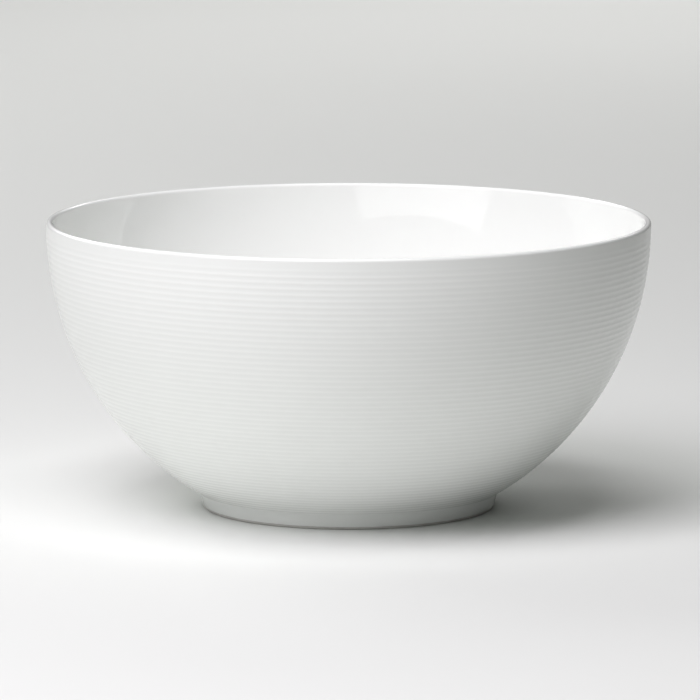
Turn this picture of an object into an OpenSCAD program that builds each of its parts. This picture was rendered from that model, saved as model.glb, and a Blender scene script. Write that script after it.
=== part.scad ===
// Porcelain serving bowl: a half-round wall with fine turned ribs outside, smooth inside,
// a plain full-round lip and a short foot ring.
// The origin is at the centre of the standing face, with +Z up along the axis.
// Diameters and heights are those of the finished, glazed bowl. Clay surfaces lie under them.

/* [Bowl] */
// Diameter over the glazed lip
bowl_d = 240; // [180:1:320]
// Height from the standing face to the top of the lip
bowl_h = 115; // [70:1:160]
// Thickness of the full-round lip
lip_t = 2.6; // [2:0.1:5]
// Slope of the inside wall where it leaves the lip, in degrees from upright
lip_lean = 5; // [0:0.5:8]
// Distance between the bottoms of the outside and the inside ellipse, which sets the low wall
low_wall_t = 3.2; // [2:0.1:6]
// Thickness of the floor between the inside and the foot well
floor_t = 4.6; // [3:0.1:9]
// Height over which the inside curve blends into the floor
floor_blend = 12; // [4:0.5:30]

/* [Ribs] */
// Distance from one rib to the next along the wall
rib_pitch = 2.34; // [1.8:0.01:6]
// Width of a rib at its base
rib_w = 1.0; // [0.4:0.05:1.4]
// Height of a rib in the clay
rib_h = 0.18; // [0.1:0.01:0.6]
// Height of a rib once the glaze has softened it
glazed_rib_h = 0.09; // [0.05:0.01:0.6]
// Number of ribs under the lip over which they rise to full height
rib_fade = 3; // [1:1:8]
// Plain wall from the middle of the lip to the first rib
lip_band = 3.3; // [1:0.1:20]
// Plain wall from the last rib to the fillet over the foot
foot_band = 1.2; // [0.8:0.1:20]

/* [Foot] */
// Diameter of the foot where it stands
foot_d = 116; // [70:1:150]
// Height of the foot ring
foot_ring_h = 5.25; // [3.5:0.05:12]
// Width of the foot ring where it stands
foot_w = 4.6; // [3:0.1:10]
// Slope of the foot's outer wall, in degrees from upright
foot_lean = 12.7; // [0:0.1:25]
// Slope of the ring's inner wall, in degrees from upright
foot_draft = 14; // [0:1:30]
// Height of the seat turned on the body, from the ring up to the corner with the wall
seat_rise = 0.95; // [0.5:0.05:3]
// Radius of the fillet between the wall and the foot
foot_fillet = 1.5; // [0.5:0.1:4]
// Radius of the fillet in the corner of the well inside the ring
well_fillet = 2; // [0.5:0.1:3]
// Radius of the two edges of the standing face
foot_edge = 0.8; // [0.2:0.1:1.0]

/* [Glaze] */
// Thickness of the glaze coats
glaze_t = 0.25; // [0.15:0.01:0.5]
// Height of the foot edge that is wiped bare of glaze
bare_h = 1.1; // [1.0:0.1:1.8]

/* [Hidden] */
$fn = 180;

clay_white = "#f1efe9";
glaze_white = "#f4f6f4";

lip_steps = 12;
curve_steps = 60;
fillet_steps = 5;

// The body ends in a flat seat, where the foot ring is luted on and the well has its ceiling.
seat_z = foot_ring_h;
well_depth = foot_ring_h - glaze_t;
floor_z = well_depth + floor_t;
well_corner_r = min(well_fillet, (well_depth - bare_h) / 2);

// The outside is a quarter ellipse that starts upright at the lip and ends at the foot's corner.
lip_z = bowl_h - lip_t / 2;
out_a = bowl_d / 2;
corner_z = foot_ring_h + seat_rise;
corner_r = foot_d / 2 + corner_z * tan(foot_lean);
foot_angle = acos(corner_r / out_a);
out_c = (lip_z - corner_z) / sin(foot_angle);

// The inside is an ellipse too. It leaves the lip's half circle at the slope lip_lean, so the wall
// grows thicker below the lip, and it blends into the floor.
in_start = polar([out_a - lip_t / 2, lip_z], lip_t / 2, 180 - lip_lean);
in_depth = in_start[1] - (lip_z - out_c + low_wall_t);
in_rise = tan(lip_lean) * in_depth / (in_start[0] - tan(lip_lean) * in_depth);
in_angle = asin(in_rise);
in_a = in_start[0] / cos(in_angle);
in_c = in_depth / (1 - in_rise);
in_z = in_start[1] + in_c * in_rise;

// The fillet in the foot's corner turns between the wall and the foot, and stays above the seat.
wall_normal = -atan2(sin(foot_angle) / out_c, cos(foot_angle) / out_a);
corner_turn = -foot_lean - wall_normal;
corner_fillet_r = min(foot_fillet, (seat_rise - 0.1) / tan(corner_turn / 2));
fillet_leg = corner_fillet_r * tan(corner_turn / 2);

// Ribs are spaced evenly by the ellipse's own angle, from the lip band to the foot band.
arc_r = (out_a + out_c) / 2;
first_rib = arc_angle(lip_band);
last_rib = foot_angle - arc_angle(foot_band + fillet_leg);
rib_count = round((last_rib - first_rib) / arc_angle(rib_pitch)) + 1;
rib_step = (last_rib - first_rib) / (rib_count - 1);
// A rib's section, as [share of its half width, share of its height]
rib_section = [for (u = [-1, -0.5, 0, 0.5, 1]) [u, 1 - u * u]];

function arc_angle(length) = length / arc_r * 180 / PI;

// The larger of two heights, rounded off where they differ by less than k
function soft_max(a, b, k) = max(a, b) + pow(max(k - abs(a - b), 0), 2) / (4 * k);

function polar(centre, radius, angle) = centre + radius * [cos(angle), sin(angle)];

// A point of the outside wall: on the outside ellipse, or in (negative) or out from it by relief
function wall_point(angle, relief) =
    let (n = [cos(angle) / out_a, -sin(angle) / out_c])
    [out_a * cos(angle), lip_z - out_c * sin(angle)] + relief * n / norm(n);

// A point of the inside wall, or of the clay that lies under it by depth
function inside_point(angle, depth) =
    let (n = [cos(angle) / in_a, -sin(angle) / in_c])
    [in_a * cos(angle), in_z - in_c * sin(angle)] + depth * n / norm(n);

// The ribbed wall from the lip down to the fillet over the foot
function ribbed_wall(inset, height) = [
    for (i = [0 : rib_count - 1], p = rib_section)
        wall_point(
            first_rib + i * rib_step + p[0] * arc_angle(rib_w / 2),
            p[1] * height * min(1, (i + 1) / rib_fade) - inset
        )
];

// The fillet where the wall turns down into the foot; clay and glaze share its centre
function foot_corner(inset) =
    let (
        start = polar([corner_r, corner_z], fillet_leg, wall_normal + 90),
        centre = polar(start, corner_fillet_r, wall_normal)
    )
    [
        for (i = [0 : fillet_steps])
            polar(centre, corner_fillet_r + inset, wall_normal + 180 + corner_turn * i / fillet_steps)
    ];

// Radius of the foot's outer wall at height z, set in by inset
function foot_r(z, inset) = foot_d / 2 + z * tan(foot_lean) - inset / cos(foot_lean);

// Radius of the foot's inner wall at height z, where out is the clay's depth under the glaze
function well_r(z, out) = foot_d / 2 - foot_w - z * tan(foot_draft) + out / cos(foot_draft);

// Part of the lip's half circle between two directions, set in by inset
function lip_arc(inset, from, to) = [
    for (i = [0 : lip_steps])
        polar([out_a - lip_t / 2, lip_z], lip_t / 2 - inset, from + (to - from) * i / lip_steps)
];

// The smooth inside from the lip to the middle of the floor, or the clay that lies under it by depth
function inside_curve(depth) = [
    for (i = [1 : curve_steps])
        let (p = inside_point(in_angle + (90 - in_angle) * i / curve_steps, depth))
        [p[0], soft_max(p[1], floor_z - depth, floor_blend)]
];

// The corner and the inner wall of the well, from its ceiling down to height end_z
function well_curve(out, end_z) =
    let (
        centre_z = well_depth - well_corner_r,
        centre = [well_r(centre_z, 0) - well_corner_r / cos(foot_draft), centre_z]
    )
    [
        for (i = [0 : fillet_steps])
            polar(centre, well_corner_r + out, 90 - (90 - foot_draft) * i / fillet_steps),
        [well_r(end_z, out), end_z]
    ];

// A rounded edge of the standing face, a quarter turn down from angle from
function standing_edge(wall_r, side, from) = [
    for (i = [0 : fillet_steps - 1])
        polar([wall_r - side * foot_edge, foot_edge], foot_edge, from - 90 * i / (fillet_steps - 1))
];

function backwards(points) = [for (i = [len(points) - 1 : -1 : 0]) points[i]];

// The clay wall and floor in one piece, ribbed outside, with a flat seat under it
module porcelain_body() {
    color(clay_white)
        rotate_extrude()
            polygon(concat(
                lip_arc(glaze_t, 180 - lip_lean, 0),
                ribbed_wall(glaze_t, rib_h),
                foot_corner(glaze_t),
                [[foot_r(seat_z, glaze_t), seat_z], [0, seat_z]],
                backwards(inside_curve(glaze_t))
            ));
}

// The ring that the bowl stands on, with two rounded edges and a bare standing face
module foot_ring() {
    color(clay_white)
        rotate_extrude()
            polygon(concat(
                [[foot_r(seat_z, glaze_t), seat_z], [foot_r(bare_h, glaze_t), bare_h]],
                standing_edge(foot_r(foot_edge, glaze_t), 1, 0),
                standing_edge(well_r(foot_edge, glaze_t), -1, -90),
                backwards(well_curve(glaze_t, bare_h))
            ));
}

// The glaze inside the bowl, from the crown of the lip to the middle of the floor
module inside_glaze() {
    color(glaze_white)
        rotate_extrude()
            polygon(concat(
                lip_arc(glaze_t, 90, 180 - lip_lean),
                inside_curve(glaze_t),
                backwards(inside_curve(0)),
                lip_arc(0, 180 - lip_lean, 90)
            ));
}

// The glaze outside, from the crown of the lip over the ribs to the bare edge of the foot
module outside_glaze() {
    color(glaze_white)
        rotate_extrude()
            polygon(concat(
                lip_arc(0, 90, 0),
                ribbed_wall(0, glazed_rib_h),
                foot_corner(0),
                [
                    [foot_r(bare_h + glaze_t, 0), bare_h + glaze_t],
                    [foot_r(bare_h, glaze_t), bare_h]
                ],
                backwards(foot_corner(glaze_t)),
                backwards(ribbed_wall(glaze_t, rib_h)),
                lip_arc(glaze_t, 0, 90)
            ));
}

// The glaze in the well under the bowl, cut off from the rest by the bare foot edge
module foot_well_glaze() {
    color(glaze_white)
        rotate_extrude()
            polygon(concat(
                [[0, well_depth]],
                well_curve(0, bare_h + glaze_t),
                backwards(well_curve(glaze_t, bare_h)),
                [[0, seat_z]]
            ));
}

porcelain_body();
foot_ring();
inside_glaze();
outside_glaze();
foot_well_glaze();
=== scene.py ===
# %% [markdown]
# # A ribbed porcelain serving bowl
# This notebook gives a bowl its finish. The bowl's shape was settled beforehand, in a model
# with five parts: the fired clay, the foot ring, and three coats of glaze. Here each part
# gets a finer mesh and the surface that the real one has, and then the bowl is put on a pale
# floor under soft studio light.
#
# Every length is in metres, and the bowl stands at the origin with its axis along Z. The
# first cell loads the finished model. Nothing in it is moved: the new meshes are built
# around the measures that it gives.

# %% Load the bowl as it was designed
import math

import bpy
import numpy as np
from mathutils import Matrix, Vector


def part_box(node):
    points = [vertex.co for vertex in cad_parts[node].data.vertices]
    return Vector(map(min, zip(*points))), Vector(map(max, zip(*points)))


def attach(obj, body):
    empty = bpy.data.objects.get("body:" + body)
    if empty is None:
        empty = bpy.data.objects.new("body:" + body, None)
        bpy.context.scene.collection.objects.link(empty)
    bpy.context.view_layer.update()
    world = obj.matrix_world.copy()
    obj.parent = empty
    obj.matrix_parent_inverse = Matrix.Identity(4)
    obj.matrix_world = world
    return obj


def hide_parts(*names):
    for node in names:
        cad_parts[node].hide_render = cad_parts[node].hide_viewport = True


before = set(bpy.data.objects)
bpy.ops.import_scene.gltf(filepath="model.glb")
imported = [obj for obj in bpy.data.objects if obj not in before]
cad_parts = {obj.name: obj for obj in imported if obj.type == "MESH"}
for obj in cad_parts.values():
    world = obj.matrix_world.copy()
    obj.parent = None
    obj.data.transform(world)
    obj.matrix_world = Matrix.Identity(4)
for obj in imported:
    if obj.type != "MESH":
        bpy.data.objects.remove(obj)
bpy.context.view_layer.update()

print("parts:", sorted(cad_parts))

# %% [markdown]
# ## Reading the sizes off the parts
# A potter would take a calliper to the bowl, and this cell does the same. The boxes round
# the parts already hold most of the sizes. The clay ends lower than the glaze does at the
# lip, so the difference is the thickness of the glaze. The inside coat ends at the crown of
# the lip, so it gives the lip's thickness. Reading sizes is safer than typing them again,
# because the finish then follows the bowl if somebody changes it.

# %% Measure the bowl
MM = 0.001
outside_low, outside_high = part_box("outside_glaze")
inside_low, inside_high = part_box("inside_glaze")
clay_low, clay_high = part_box("porcelain_body")
ring_low, ring_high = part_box("foot_ring")
well_low, well_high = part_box("foot_well_glaze")


def to_hundredth(length):
    """Rounds to a hundredth of a millimetre, which takes out what the facets cost."""
    return round(length / MM, 2) * MM


bowl_r = round(outside_high.x / MM, 1) * MM
bowl_h = to_hundredth(outside_high.z)
glaze_t = to_hundredth(outside_high.z - clay_high.z)
lip_t = 2 * (bowl_r - round(inside_high.x / MM, 1) * MM)
seat_z = to_hundredth(clay_low.z)
bare_h = to_hundredth(well_low.z)
floor_z = to_hundredth(inside_low.z + glaze_t)
well_z = seat_z - glaze_t
lip_z = bowl_h - lip_t / 2
print(f"lip {lip_t / MM:.2f} mm, glaze {glaze_t / MM:.2f} mm, floor at {floor_z / MM:.2f} mm")

# %% [markdown]
# ## The sizes that a box can't show
# The pitch of the ribs, the lean of the foot and the roundings are the potter's own numbers,
# written once here with a name each. They are the same as in the design, apart from the height
# of the glazed ribs. The design has them a little higher, and they looked too strong in this
# light.

# %% Name the remaining sizes
lip_lean = math.radians(5)
low_wall_t = 3.2 * MM
floor_blend = 12 * MM
rib_pitch = 2.34 * MM
rib_rise = 0.065 * MM
clay_rib_rise = 0.18 * MM
lip_band = 3.3 * MM
foot_band = 1.2 * MM
foot_lean = math.radians(12.7)
foot_w = 4.6 * MM
foot_draft = math.radians(14)
seat_rise = 0.95 * MM
foot_fillet = 1.5 * MM
well_fillet = 2 * MM
foot_edge = 0.8 * MM

foot_r = ring_high.x - seat_z * math.tan(foot_lean) + glaze_t / math.cos(foot_lean)
print(f"foot {2 * foot_r / MM:.1f} mm across where it stands")

# %% [markdown]
# ## The curve of the bowl
# The outside is a quarter of an ellipse. It starts upright at the lip and ends where it meets
# the foot, so its depth follows from those two places. The inside is an ellipse too, but it
# leaves the lip at a slope, because a porcelain wall is thin at the lip and grows thicker below
# it. Near the bottom it has to turn into a nearly flat floor. A plain maximum of the two
# heights would leave a crease there, so a soft maximum rounds the change.
#
# An outline is a list of points in a plane, with the distance from the axis first and the
# height second. Outlines run clockwise: down the outside, in along the underside, out along
# the inside and up to the lip. Then the left-hand side of the path always faces the air.

# %% Work out the two ellipses
corner_z = seat_z + seat_rise
corner_r = foot_r + corner_z * math.tan(foot_lean)
foot_angle = math.acos(corner_r / bowl_r)
out_c = (lip_z - corner_z) / math.sin(foot_angle)
arc_r = (bowl_r + out_c) / 2


def polar(centre, radius, angle):
    """The point, or the points, at a distance and a direction from a centre."""
    return np.asarray(centre) + radius * np.stack([np.cos(angle), np.sin(angle)], axis=-1)


def on_ellipse(width, depth, centre_z, angle, away):
    """Points on the lower half of an ellipse, moved away from it along the normal."""
    normal = np.stack([np.cos(angle) / width, -np.sin(angle) / depth], axis=-1)
    normal /= np.linalg.norm(normal, axis=-1, keepdims=True)
    base = np.stack([width * np.cos(angle), centre_z - depth * np.sin(angle)], axis=-1)
    return base + np.reshape(away, (-1, 1)) * normal


def soft_max(a, b, reach):
    """The larger of two heights, rounded off where they differ by less than reach."""
    return np.maximum(a, b) + np.maximum(reach - np.abs(a - b), 0) ** 2 / (4 * reach)


in_start = polar([bowl_r - lip_t / 2, lip_z], lip_t / 2, math.pi - lip_lean)
in_drop = in_start[1] - (lip_z - out_c + low_wall_t)
in_share = math.tan(lip_lean) * in_drop / (in_start[0] - math.tan(lip_lean) * in_drop)
in_angle = math.asin(in_share)
in_a = in_start[0] / math.cos(in_angle)
in_c = in_drop / (1 - in_share)
in_z = in_start[1] + in_c * in_share


def inside_points(angle, depth):
    """Points on the inside curve, or on the clay that lies under it by depth."""
    points = on_ellipse(in_a, in_c, in_z, angle, depth)
    points[:, 1] = soft_max(points[:, 1], floor_z - depth, floor_blend)
    return points


halfway = inside_points(np.array([math.pi / 4]), 0)[0]
print(f"half way down, the inside is {halfway[0] / MM:.1f} mm from the axis")

# %% [markdown]
# ## The ribs
# The ribs are turned into the clay with a toothed profile. The tool indexes them at an even
# step, so an even step in the ellipse's own angle puts them in the right places, and there
# is a whole number of them between the lip band and the foot band. A rib is a narrow round
# bead with a flatter valley between it and the next one. A raised cosine has that shape once
# it is narrowed a little with a power, and it has no corner for the light to catch on. The
# first ribs under the lip are lower, and here they reach full height one rib sooner than in
# the design.
#
# The relief is built into the mesh, not painted on with a bump, because it has to show at
# the outline and has to be there for anyone who uses the mesh alone.

# %% Place the ribs
RIB_SHARPNESS = 1.4
RIB_FADE = 2


def arc_angle(length):
    """The ellipse's own angle for a length of wall, by the mean of its two radii."""
    return length / arc_r


wall_normal = -math.atan2(math.sin(foot_angle) / out_c, math.cos(foot_angle) / bowl_r)
corner_turn = -foot_lean - wall_normal
fillet_leg = foot_fillet * math.tan(corner_turn / 2)
first_rib = arc_angle(lip_band)
last_rib = foot_angle - arc_angle(foot_band + fillet_leg)
rib_count = round((last_rib - first_rib) / arc_angle(rib_pitch)) + 1
rib_step = (last_rib - first_rib) / (rib_count - 1)


def rib_height(angle):
    """How far up a rib a point is, from 0 in a valley to 1 on a crest."""
    place = (angle - first_rib) / rib_step
    on_ribs = (place > -0.5) & (place < rib_count - 0.5)
    crest = ((1 + np.cos(2 * math.pi * place)) / 2) ** RIB_SHARPNESS
    return np.where(on_ribs, crest * np.clip((place + 1) / RIB_FADE, 0, 1), 0.0)


print(rib_count, "ribs,", round(rib_step * arc_r / MM, 2), "mm apart")

# %% [markdown]
# ## Turning an outline into a mesh
# A wheel turns clay, and this function turns an outline: it repeats each point round the axis
# and joins the rings with four-sided faces. The screw modifier does the same, but it would
# leave the shading to chance. Where a smooth run of the outline ends, such as at the crown of
# the lip, the shading normals are set from the curve itself, so two coats that meet there
# look like one. Where two runs meet at an edge, the normals break.
#
# A run can start or end with a stated normal. Each ring also keeps a number called rib,
# which the glaze uses later to know a crest from a valley.

# %% Make the turning function
COLUMNS = 144


def new_piece(name, vertices, faces):
    """A mesh object in the scene, with no finish yet."""
    mesh = bpy.data.meshes.new(name)
    mesh.from_pydata(vertices, [], faces)
    piece = bpy.data.objects.new(name, mesh)
    bpy.context.scene.collection.objects.link(piece)
    return piece


def run_of(points, first=None, last=None, rib=None):
    """A smooth stretch of an outline, with its normals and how high on a rib each point is."""
    points = np.asarray(points, float)
    along = np.gradient(points, axis=0)
    normals = np.column_stack([-along[:, 1], along[:, 0]])
    normals /= np.linalg.norm(normals, axis=1)[:, None]
    for place, stated in ((0, first), (-1, last)):
        if stated is not None:
            normals[place] = stated
    return points, normals, np.zeros(len(points)) if rib is None else np.asarray(rib)


def turned(name, runs):
    """A mesh object made by turning runs of outline round the Z axis."""
    turn = 2 * math.pi * np.arange(COLUMNS) / COLUMNS
    spokes = np.column_stack([np.cos(turn), np.sin(turn)])
    vertices, ribs, rings, faces, normals = [], [], {}, [], []

    def ring_at(point, rib):
        key = (round(point[0], 8), round(point[1], 8))
        if key not in rings:
            on_axis = key[0] < 1e-7
            start, count = len(vertices), 1 if on_axis else COLUMNS
            for spoke in spokes[:count]:
                vertices.append((0, 0, point[1]) if on_axis else (*(point[0] * spoke), point[1]))
            ribs.extend([rib] * count)
            rings[key] = np.full(COLUMNS, start) if on_axis else start + np.arange(COLUMNS)
        return rings[key]

    def turned_normal(normal, column):
        spoke = spokes[column % COLUMNS]
        return (normal[0] * spoke[0], normal[0] * spoke[1], normal[1])

    for points, run_normals, run_ribs in runs:
        for i in range(len(points) - 1):
            upper, lower = ring_at(points[i], run_ribs[i]), ring_at(points[i + 1], run_ribs[i + 1])
            for j in range(COLUMNS):
                k = (j + 1) % COLUMNS
                corners = [
                    (upper[j], i, j),
                    (lower[j], i + 1, j),
                    (lower[k], i + 1, j + 1),
                    (upper[k], i, j + 1),
                ]
                if corners[0][0] == corners[3][0]:
                    corners.pop(3)
                if corners[1][0] == corners[2][0]:
                    corners.pop(2)
                faces.append([int(c[0]) for c in corners])
                normals += [turned_normal(run_normals[c[1]], c[2]) for c in corners]

    piece = new_piece(name, vertices, faces)
    piece.data.shade_smooth()
    piece.data.normals_split_custom_set(normals)
    piece.data.attributes.new("rib", "FLOAT", "POINT").data.foreach_set("value", ribs)
    print(f"{name}: {len(vertices)} vertices, {len(faces)} faces")
    return piece

# %% [markdown]
# ## Outlines that several pieces share
# The clay and the glaze follow the same lines, one set in from the other. So each line is a
# function of how far it is set in, and a piece joins the lines that it needs.

# %% Draw the shared lines
LIP_STEPS = 14
FILLET_STEPS = 8
ROWS_PER_RIB = 8
CLAY_ROWS_PER_RIB = 3
INSIDE_STEPS = 72
BAND_STEPS = 3
ROLL_STEPS = 4
CLEAR_OF_FILLET = 0.1 * MM

UP, DOWN = (0.0, 1.0), (0.0, -1.0)


def lip_arc(inset, start, end):
    """The round lip between two directions in degrees, where 0 is outwards and 90 is up."""
    angles = np.radians(np.linspace(start, end, LIP_STEPS + 1))
    return polar([bowl_r - lip_t / 2, lip_z], lip_t / 2 - inset, angles)


def ribbed_line(inset, rise, rows):
    """The outside wall from the lip to the fillet, and how high on a rib each point is."""
    before = np.linspace(0, first_rib - rib_step / 2, BAND_STEPS + 1)[1:-1]
    ribbed = first_rib + rib_step * (np.arange(rows * rib_count + 1) / rows - 0.5)
    after = foot_angle - arc_angle(fillet_leg)
    angles = np.concatenate([before, ribbed, [(ribbed[-1] + after) / 2]])
    angles = angles[angles < after - arc_angle(CLEAR_OF_FILLET)]
    heights = rib_height(angles)
    return on_ellipse(bowl_r, out_c, lip_z, angles, rise * heights - inset), heights


def foot_corner(inset):
    """The fillet where the wall turns down into the foot."""
    start = polar([corner_r, corner_z], fillet_leg, wall_normal + math.pi / 2)
    centre = polar(start, foot_fillet, wall_normal)
    angles = wall_normal + math.pi + corner_turn * np.linspace(0, 1, FILLET_STEPS + 1)
    return polar(centre, foot_fillet + inset, angles)


def foot_wall(z, inset):
    """A point on the foot's outer wall."""
    return [foot_r + z * math.tan(foot_lean) - inset / math.cos(foot_lean), z]


def well_wall(z, depth):
    """A point on the foot's inner wall."""
    return [foot_r - foot_w - z * math.tan(foot_draft) + depth / math.cos(foot_draft), z]


def well_corner(depth):
    """The corner of the well, from its ceiling round to the inner wall."""
    centre_z = well_z - well_fillet
    centre = [well_wall(centre_z, 0)[0] - well_fillet / math.cos(foot_draft), centre_z]
    angles = np.linspace(math.pi / 2, foot_draft, FILLET_STEPS + 1)
    return polar(centre, well_fillet + depth, angles)


def inside_line(depth):
    """The inside from just under the lip to the middle of the floor."""
    return inside_points(np.linspace(in_angle, math.pi / 2, INSIDE_STEPS + 1)[1:], depth)


def glaze_end(wall):
    """How a coat of glaze ends at the bare foot: a small roll down to the clay."""
    angles = np.linspace(0, math.pi / 2, ROLL_STEPS + 1)
    return [wall(bare_h + glaze_t * (1 - math.sin(a)), glaze_t * (1 - math.cos(a))) for a in angles]

# %% [markdown]
# ## The outside glaze
# This coat is most of what one sees. It starts at the crown of the lip, runs over the ribs and
# down the foot, and stops where the foot is wiped clean before firing. It is a closed shell:
# the face that shows, and the face that lies on the clay.

# %% Turn the outside glaze
wall, on_rib = ribbed_line(0, rib_rise, ROWS_PER_RIB)
lip = lip_arc(0, 90, 0)
foot = [foot_wall(seat_z - drop, 0) for drop in (0.5 * MM, 2.0 * MM)]
shown = np.vstack([lip, wall, foot_corner(0), foot, glaze_end(foot_wall)])
shown_rib = np.zeros(len(shown))
shown_rib[len(lip):len(lip) + len(wall)] = on_rib

clay_wall, _ = ribbed_line(glaze_t, clay_rib_rise, CLAY_ROWS_PER_RIB)
clay_lip = lip_arc(glaze_t, 90, 0)
behind = np.vstack([clay_lip, clay_wall, foot_corner(glaze_t), [foot_wall(bare_h, glaze_t)]])[::-1]

outside_coat = turned("outside_glaze_coat", [
    run_of(shown, first=UP, rib=shown_rib),
    run_of(behind),
    run_of([clay_lip[0], lip[0]]),
])

# %% [markdown]
# ## The inside glaze
# The inside is thrown smooth and is the part that food touches, so it has no relief at all.
# A smooth surface shows every fault in its shading, so the outline has many steps where it
# bends, and the coat meets the outside one at the crown with the same upright normal.

# %% Turn the inside glaze
LIP_END = 180 - math.degrees(lip_lean)

inner_lip = lip_arc(0, LIP_END, 90)
inner_clay_lip = lip_arc(glaze_t, 90, LIP_END)
inside_shown = np.vstack([inside_line(0)[::-1], inner_lip])
inside_behind = np.vstack([inner_clay_lip, inside_line(glaze_t)])
inside_coat = turned("inside_glaze_coat", [
    run_of(inside_shown, first=UP, last=UP),
    run_of([inner_lip[-1], inner_clay_lip[0]]),
    run_of(inside_behind, last=DOWN),
])

# %% [markdown]
# ## The clay and its foot
# The body is one clay piece with a flat seat turned under it, and the foot ring is luted to
# that seat. The body is covered by glaze all over. Of the ring one sees only the bare edge
# that the bowl stands on, with its two rounded corners.

# %% Turn the clay body and the foot ring
body_seat = [foot_wall(seat_z, glaze_t), [0, seat_z]]
clay_outside = np.vstack([clay_lip, clay_wall, foot_corner(glaze_t), body_seat[:1]])
clay_inside = np.vstack([inside_line(glaze_t)[::-1], inner_clay_lip[::-1]])
clay_body = turned("clay_body", [
    run_of(clay_outside, first=UP),
    run_of(body_seat),
    run_of(clay_inside, first=UP, last=UP),
])


def edge_arc(wall_r, side, start):
    """A rounded edge of the standing face, a quarter turn down from the direction start."""
    angles = np.radians(np.linspace(start, start - 90, FILLET_STEPS + 1))
    return polar([wall_r - side * foot_edge, foot_edge], foot_edge, angles)


outer_edge = edge_arc(foot_wall(foot_edge, glaze_t)[0], 1, 0)
inner_edge = edge_arc(well_wall(foot_edge, glaze_t)[0], -1, -90)
ring_wall = [foot_wall(seat_z, glaze_t), foot_wall(bare_h, glaze_t)]
ring_well = np.vstack([[well_wall(bare_h, glaze_t)], well_corner(glaze_t)[::-1]])
foot_piece = turned("foot_ring_clay", [
    run_of(np.vstack([ring_wall, outer_edge, inner_edge, ring_well])),
    run_of([well_corner(glaze_t)[0], foot_wall(seat_z, glaze_t)]),
])

# %% [markdown]
# ## The glaze under the bowl
# The well inside the foot is glazed too. Its coat is cut off from the rest by the bare ring,
# and it ends in the same small roll.

# %% Turn the well glaze
well_shown = np.vstack([glaze_end(well_wall)[::-1], well_corner(0)[::-1], [[0, well_z]]])
well_behind = np.vstack([[[0, seat_z]], well_corner(glaze_t), [well_wall(bare_h, glaze_t)]])
well_coat = turned("well_glaze_coat", [run_of(well_shown, last=DOWN), run_of(well_behind, first=UP)])

# %% [markdown]
# ## Every piece stands for its part
# The fine meshes take the places of the plain ones, which are hidden. Each rides on the
# bowl's one rigid body.

# %% Hand the pieces to the frame
PIECES = {
    "porcelain_body": (clay_body, "fired_clay"),
    "foot_ring": (foot_piece, "bare_foot"),
    "inside_glaze": (inside_coat, "inside_glaze"),
    "outside_glaze": (outside_coat, "outside_glaze"),
    "foot_well_glaze": (well_coat, "well_glaze"),
}
for part, (piece, slot) in PIECES.items():
    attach(piece, "root")
    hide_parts(part)
print("pieces:", ", ".join(piece.name for piece, _ in PIECES.values()))

# %% [markdown]
# ## Sums on a surface
# A finish is mostly arithmetic: so much of this colour where the glaze is thin, so much of
# that one where it lies thick or where shade is painted in. Written as nodes, such sums are
# long and hard to read. This small class holds one output of a node and gives it the usual
# signs, so that 1 - mask adds the Math node that it needs. Its one method, node, adds any other kind.

# %% Make the wiring class
class Wire:
    """One output in a material's node tree."""

    def __init__(self, tree, socket=None):
        self.tree, self.socket = tree, socket

    def node(self, kind, settings=None, feeds=None, out=0):
        """Adds a node, sets it up, feeds its inputs, and returns one of its outputs."""
        made = self.tree.nodes.new(kind)
        for name, value in (settings or {}).items():
            setattr(made, name, value)
        for name, value in (feeds or {}).items():
            if isinstance(value, Wire):
                self.tree.links.new(value.socket, made.inputs[name])
            else:
                made.inputs[name].default_value = value
        return Wire(self.tree, made.outputs[out] if made.outputs else None)

    def maths(self, operation, first, second):
        return self.node("ShaderNodeMath", {"operation": operation}, {0: first, 1: second})

    def __add__(self, other):
        return self.maths("ADD", self, other)

    def __radd__(self, other):
        return self.maths("ADD", other, self)

    def __sub__(self, other):
        return self.maths("SUBTRACT", self, other)

    def __rsub__(self, other):
        return self.maths("SUBTRACT", other, self)

    def __mul__(self, other):
        return self.maths("MULTIPLY", self, other)

    def __rmul__(self, other):
        return self.maths("MULTIPLY", other, self)

    def __pow__(self, other):
        return self.maths("POWER", self, other)

    def __gt__(self, other):
        return self.maths("GREATER_THAN", self, other)


def mixed(share, first, second):
    """A colour between two others. A Mix node has its colours at inputs 6 and 7, output 2."""
    return share.node("ShaderNodeMix", {"data_type": "RGBA"}, {0: share, 6: first, 7: second}, out=2)


print("a Wire understands", "+ - * ** >")

# %% [markdown]
# ## Starting and ending a material
# Every finish starts from the same two places, the point on the surface and the noise that
# varies there, and ends in the same shader. The point is in metres on the bowl, so the scale
# of a noise says how many of its lumps there are in a metre.

# %% Make the shared ends of a material
def new_material(name):
    """An empty material, and a wire to start its tree from."""
    material = bpy.data.materials.new(name)
    material.use_nodes = True
    material.node_tree.nodes.clear()
    return material, Wire(material.node_tree)


def surface_point(tree):
    """The point being shaded, in metres from the bowl's origin."""
    return tree.node("ShaderNodeTexCoord", out="Object")


def noise(point, scale, detail=2.0):
    """Soft random lumps, with scale of them to the metre."""
    return point.node("ShaderNodeTexNoise", None, {"Vector": point, "Scale": scale, "Detail": detail})


def bump(height, depth, under=None):
    """Tilts the surface by a height from 0 to 1, which stands for depth metres."""
    feeds = {"Height": height, "Distance": depth, "Strength": 1.0}
    if under is not None:
        feeds["Normal"] = under
    return height.node("ShaderNodeBump", None, feeds)


def shade(tree, fixed, varied):
    """The shader at the end: fixed numbers for the whole surface, and wires that vary."""
    shader = tree.node("ShaderNodeBsdfPrincipled", None, {**fixed, **varied})
    tree.node("ShaderNodeOutputMaterial", None, {"Surface": shader})
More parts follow.
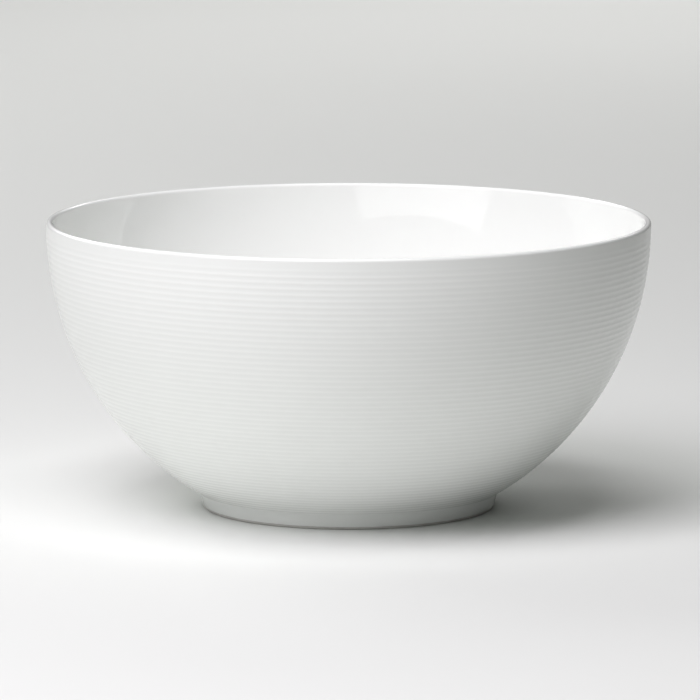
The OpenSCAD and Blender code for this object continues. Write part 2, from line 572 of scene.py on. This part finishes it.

# %% [markdown]
# ## The glaze
# A clear glaze over white porcelain is a dense white body under a thin layer of glass. The
# shader's base is the white, and its own gloss, with the index of glass, is the layer. What
# keeps it from looking like plastic is in small things. Melted glaze runs off the crests and
# pools in the valleys, where its faint grey-green shows. The valleys are painted darker than
# the crests, partly for that tint and partly as painted shade between the ribs. The glaze never
# levels out fully, so the reflections waver a little, and the gloss isn't the same everywhere.

# %% Make the glaze finishes
GLASS_IOR = 1.5
DRIFTS, RIPPLES, GLAZE_GRAINS = 16.0, 260.0, 3200.0
THIN_POWER = 1.5
# How much the ribs set the valley colour, which is partly glaze that pools and partly painted shade.
RIB_POOL_AND_SHADE_SHARE, DRIFT_SHARE = 0.85, 0.15


def glazed(name, thin, pooled_and_shaded, gloss, waver):
    """A clear glaze on white clay: gloss is its roughness, waver how deep its ripples are."""
    material, tree = new_material(name)
    point = surface_point(tree)
    crest = tree.node("ShaderNodeAttribute", {"attribute_name": "rib"}, out="Fac")
    drift = noise(point, DRIFTS)
    ripple = noise(point, RIPPLES, 1.0)
    grain = noise(point, GLAZE_GRAINS, 3.0)
    # Painted shade: valleys are darker than crests, partly the tint of glaze that pools there and
    # partly painted shade between the ribs.
    pool_and_valley_shade = (1 - crest ** THIN_POWER) * RIB_POOL_AND_SHADE_SHARE + drift * DRIFT_SHARE
    colour = mixed(pool_and_valley_shade, thin, pooled_and_shaded)
    rough = gloss * (0.75 + drift * 0.3 + grain * 0.2)
    normal = bump(ripple, waver, bump(grain, waver * 0.05))
    shade(tree, {"IOR": GLASS_IOR}, {"Base Color": colour, "Roughness": rough, "Normal": normal})
    print(name, "has", len(material.node_tree.nodes), "nodes")
    return material


# Each coat's second colour goes in the valleys; on the outside it is darker partly for glaze that
# pools and partly as painted shade.
outside_finish = glazed(
    "outside_glaze_white", (0.91, 0.928, 0.9, 1), (0.862, 0.884, 0.855, 1), 0.2, 0.012 * MM
)
inside_finish = glazed(
    "inside_glaze_white", (0.925, 0.942, 0.918, 1), (0.915, 0.934, 0.908, 1), 0.015, 0.002 * MM
)
well_finish = glazed(
    "well_glaze_white", (0.87, 0.885, 0.865, 1), (0.85, 0.87, 0.84, 1), 0.12, 0.012 * MM
)

# %% [markdown]
# ## The bare clay
# Fired porcelain without glaze is as fine as an eggshell and quite matt. The ring that the
# bowl stands on is polished after firing and then rubbed by every table it is slid across,
# so it is smoother and a little greyer in patches. Its colour is also much darker than the
# clay's all over: painted shade, for the dark line where the bowl meets the floor.

# %% Make the clay finishes
CLAY_GRAINS, RUBBED_PATCHES = 4200.0, 90.0
RUBBED_ABOVE = 0.56


def bare_clay(name, clean, rubbed, gloss):
    """Unglazed porcelain, fine grained, with rubbed patches."""
    material, tree = new_material(name)
    point = surface_point(tree)
    grain = noise(point, CLAY_GRAINS, 4.0)
    patch = noise(point, RUBBED_PATCHES, 3.0)
    rub = (patch > RUBBED_ABOVE) * grain
    colour = mixed(rub * 0.5, clean, rubbed)
    rough = gloss + (grain - 0.5) * 0.2 - rub * 0.15
    normal = bump(grain, 0.012 * MM)
    shade(tree, {"IOR": GLASS_IOR}, {"Base Color": colour, "Roughness": rough, "Normal": normal})
    print(name, "has", len(material.node_tree.nodes), "nodes")
    return material


clay_finish = bare_clay("fired_clay_white", (0.8, 0.79, 0.76, 1), (0.77, 0.76, 0.73, 1), 0.75)
# The foot ring's colours are much darker than the clay's: painted shade for the dark line where the
# bowl meets the floor. The rubbed patches on it are wear.
foot_finish_with_painted_shade = bare_clay("bare_foot_clay_painted_shade", (0.6, 0.59, 0.56, 1), (0.45, 0.44, 0.42, 1), 0.6)

# %% Put the finishes on
FINISHES = {
    "porcelain_body": clay_finish,
    "foot_ring": foot_finish_with_painted_shade,
    "inside_glaze": inside_finish,
    "outside_glaze": outside_finish,
    "foot_well_glaze": well_finish,
}
for part, finish in FINISHES.items():
    PIECES[part][0].data.materials.append(finish)
    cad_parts[part].data.materials.clear()
    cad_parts[part].data.materials.append(finish)
print("finishes:", len(FINISHES))

# %% [markdown]
# ## The floor
# The bowl stands on a sheet of pale paper. In a studio the paper is hung so that it sweeps up
# behind, and its far end is never seen. Here nothing may stand behind the bowl, because it is
# also looked at from the back, so the sheet lies flat and thins out to nothing long before its
# edge. What shows past it is the even light of the room, in the same pale grey. The middle of
# the sheet is painted whiter than the rest, a painted pool of light round the bowl, and it
# throws light up under the bowl.

# %% Lay the floor
FLOOR_R = 3.4
FADE_FROM, FADE_TO = 2.3, 3.3
# Painted light: the paper has its lighter colour near the bowl and its duller one further out.
PAPER_LIT_R, PAPER_DIM_R = 0.06, 0.17
PAPER_PAINTED_LIT, PAPER_PAINTED_DIM = (0.885, 0.905, 0.878, 1), (0.76, 0.778, 0.754, 1)


def paper_finish():
    """Matt paper with a fine tooth, which fades out far from the bowl."""
    material, tree = new_material("pale_paper")
    point = surface_point(tree)
    fibre = noise(point, 900.0, 3.0)
    cloud = noise(point, 1.5)
    away = point.node("ShaderNodeVectorMath", {"operation": "LENGTH"}, {0: point}, out="Value")
    # Painted light: this mask paints a pool of light on the paper round the bowl, lighter near it and
    # duller away from it.
    painted_falloff = away.node("ShaderNodeMapRange", {"interpolation_type": "SMOOTHSTEP"}, {
        "Value": away, "From Min": PAPER_LIT_R, "From Max": PAPER_DIM_R, "To Min": 0.0, "To Max": 1.0,
    })
    fade = away.node("ShaderNodeMapRange", {"interpolation_type": "SMOOTHSTEP"}, {
        "Value": away, "From Min": FADE_FROM, "From Max": FADE_TO, "To Min": 1.0, "To Max": 0.0,
    })
    shade(tree, {"Specular IOR Level": 0.2}, {
        "Base Color": mixed(painted_falloff * 0.95 + cloud * 0.05, PAPER_PAINTED_LIT, PAPER_PAINTED_DIM),
        "Roughness": 0.75 + (fibre - 0.5) * 0.1,
        "Normal": bump(fibre, 0.02 * MM),
        "Alpha": fade,
    })
    return material


def floor_sheet():
    """A round sheet, made of rings that grow wider outwards."""
    columns = 64
    turn = 2 * math.pi * np.arange(columns) / columns
    radii = [0.2, 0.5, 1.0, 1.6, 2.3, 2.8, FLOOR_R]
    vertices = [(0, 0, 0)] + [(r * math.cos(a), r * math.sin(a), 0) for r in radii for a in turn]
    faces = [(0, 1 + j, 1 + (j + 1) % columns) for j in range(columns)]
    for i in range(len(radii) - 1):
        inner, outer = 1 + i * columns, 1 + (i + 1) * columns
        faces += [
            (inner + j, outer + j, outer + (j + 1) % columns, inner + (j + 1) % columns)
            for j in range(columns)
        ]
    return new_piece("floor_sheet", vertices, faces)


floor_piece = floor_sheet()
floor_piece.data.materials.append(paper_finish())
print("floor", 2 * FLOOR_R, "m across")

# %% [markdown]
# ## The light
# White on near white is a test of the lighting. The shape only shows where one side is
# darker, so one soft box on the left does most of the work, close enough for its light to
# fall off across the bowl. A second one overhead fills the inside, and a third, behind on
# the left, keeps the far side open. Two lamps hang over the paper behind and do little for
# the bowl, but keep the background even. The key light has a trace of magenta, which makes
# what it strikes neutral and leaves the faint green of the glaze to the shadows.
#
# A lamp is placed by its direction and its distance, which is how one thinks of it in a
# studio. Lamps are hidden from the camera, so that none shows when the bowl is seen from
# another side.

# %% Hang the lights
BOWL_MIDDLE = (0, 0, 0.05)


def direction(left, up):
    """The way to something so many degrees left of the front, and so many degrees up."""
    left, up = math.radians(left), math.radians(up)
    return Vector((-math.sin(left) * math.cos(up), -math.cos(left) * math.cos(up), math.sin(up)))


def soft_box(name, place, aim, size, power, tint):
    """A rectangular lamp at a place, turned to face another."""
    lamp = bpy.data.lights.new(name, "AREA")
    lamp.shape, lamp.size, lamp.size_y = "RECTANGLE", size[0], size[1]
    lamp.energy, lamp.color = power, tint
    holder = bpy.data.objects.new(name, lamp)
    holder.location = place
    holder.rotation_euler = (Vector(aim) - Vector(place)).to_track_quat("-Z", "Y").to_euler()
    holder.visible_camera = False
    bpy.context.scene.collection.objects.link(holder)


def toward_bowl(name, left, up, away, size, power, tint):
    """A lamp that faces the bowl from a direction and a distance."""
    place = Vector(BOWL_MIDDLE) + away * direction(left, up)
    soft_box(name, place, BOWL_MIDDLE, size, power, tint)


KEY_TINT = (1.01, 0.962, 1.025)
FILL_TINT = (1.0, 0.988, 0.998)
PAPER_TINT = (1.0, 0.98, 0.985)
PAPER_LAMP_X, PAPER_LAMP_UP = 0.25, 1.15
PAPER_LAMP_SIZE = (1.8, 0.7)
toward_bowl("key_box", 38, 50, 1.25, (0.8, 0.8), 10.1, KEY_TINT)
toward_bowl("top_box", 18, 80, 2.2, (1.4, 0.9), 24.0, FILL_TINT)
toward_bowl("rear_box", 140, 30, 1.9, (1.0, 0.7), 8.3, FILL_TINT)
for k, (y, power) in enumerate(((2.2, 13.0), (3.0, 2.5))):
    # The aim is 1 mm off straight down, which settles the way that the lamp is turned.
    above, below = (PAPER_LAMP_X, y, PAPER_LAMP_UP), (PAPER_LAMP_X, y + 1 * MM, 0)
    soft_box(f"paper_lamp_{k + 1}", above, below, PAPER_LAMP_SIZE, power, PAPER_TINT)

# %% [markdown]
# ## The white scrim beside the camera
# The far inside wall is nearly upright, so it mirrors what stands low in front of the bowl.
# A cloth scrim with a light behind it, just left of the camera, gives it a bright patch with
# clear edges, and that patch is what tells the eye that the glaze is glossy. The cloth hangs
# from its two top corners, so it is narrower at the top and its top edge sags. A lamp can't
# have that outline, so the scrim is a mesh that glows. Its light is weak and changes little
# else. Like the lamps, it is hidden from the camera.

# %% Hang the scrim
SCRIM_LEFT, SCRIM_AWAY = 31, 2.0
SCRIM_FOOT_W, SCRIM_TOP_W = 2.36, 1.9
SCRIM_LOW, SCRIM_HIGH, SCRIM_SAG = 0.01, 0.66, 0.14
SCRIM_GLOW = 1.5


def scrim_cloth(columns=24, rows=6):
    """A hanging cloth that faces the bowl, with a sagging top edge."""
    middle = SCRIM_AWAY * direction(SCRIM_LEFT, 0)
    across = direction(SCRIM_LEFT - 90, 0)
    vertices = []
    for i in range(rows + 1):
        up = i / rows
        half = (SCRIM_FOOT_W + (SCRIM_TOP_W - SCRIM_FOOT_W) * up) / 2
        for j in range(columns + 1):
            side = 2 * j / columns - 1
            top = SCRIM_HIGH - SCRIM_SAG * (1 - side ** 2)
            height = SCRIM_LOW + (top - SCRIM_LOW) * up
            vertices.append(middle + side * half * across + Vector((0, 0, height)))
    row = columns + 1
    faces = [
        (i * row + j, i * row + j + 1, (i + 1) * row + j + 1, (i + 1) * row + j)
        for i in range(rows) for j in range(columns)
    ]
    cloth = new_piece("scrim_cloth", vertices, faces)
    cloth.visible_camera = False
    return cloth


def glow_finish():
    """Lit cloth, with the faint unevenness of its weave."""
    material, tree = new_material("lit_scrim")
    weave = noise(surface_point(tree), 3.0)
    black = {"Base Color": (0, 0, 0, 1), "Specular IOR Level": 0.0}
    shade(tree, {**black, "Emission Strength": SCRIM_GLOW}, {
        "Emission Color": mixed(weave, (1, 1, 1, 1), (0.94, 0.94, 0.94, 1)),
    })
    return material


scrim_piece = scrim_cloth()
scrim_piece.data.materials.append(glow_finish())
print("scrim", SCRIM_FOOT_W, "m wide at the foot and", SCRIM_TOP_W, "m at the top")

# %% [markdown]
# ## The air of the room
# Past the paper there is only a pale grey. It shows behind the bowl when one looks from low
# down, but it must not light the bowl as brightly as it shows, or the shadows would fill up.
# So the room has two strengths: one for what looks straight at it, and a weak one for light.

# %% Fill the room
ROOM_SEEN = 0.66
ROOM_LIGHT = 0.03

sky = bpy.data.worlds.new("even_light")
sky.use_nodes = True
sky.node_tree.nodes.clear()
room = Wire(sky.node_tree)
looks = room.node("ShaderNodeLightPath", out="Is Camera Ray")
strength = looks * (ROOM_SEEN - ROOM_LIGHT) + ROOM_LIGHT
air = room.node("ShaderNodeBackground", None, {"Color": (1, 1, 0.98, 1), "Strength": strength})
room.node("ShaderNodeOutputWorld", None, {"Surface": air})
bpy.context.scene.world = sky
print("room", ROOM_SEEN, "seen,", ROOM_LIGHT, "as light")

# %% [markdown]
# ## The camera
# A long lens from some way off, a little above the lip: the usual view for tableware, because
# it keeps the outline true and still lets one look into the bowl.

# %% Set the camera
CAMERA_OUT = 2.578
CAMERA_UP = 0.4455
LENS_MM = 336.6
LOOK_AT = Vector((0.0005, 0, 0.0625))

lens = bpy.data.cameras.new("tableware_view")
lens.lens, lens.sensor_width = LENS_MM, 36
lens.clip_start, lens.clip_end = 0.1, 60
camera = bpy.data.objects.new("tableware_view", lens)
camera.location = (0, -CAMERA_OUT, CAMERA_UP)
camera.rotation_euler = (LOOK_AT - camera.location).to_track_quat("-Z", "Y").to_euler()
bpy.context.scene.collection.objects.link(camera)
bpy.context.scene.camera = camera
bpy.context.scene.view_settings.view_transform = "Standard"
print("camera", round((LOOK_AT - camera.location).length, 3), "m from the bowl")
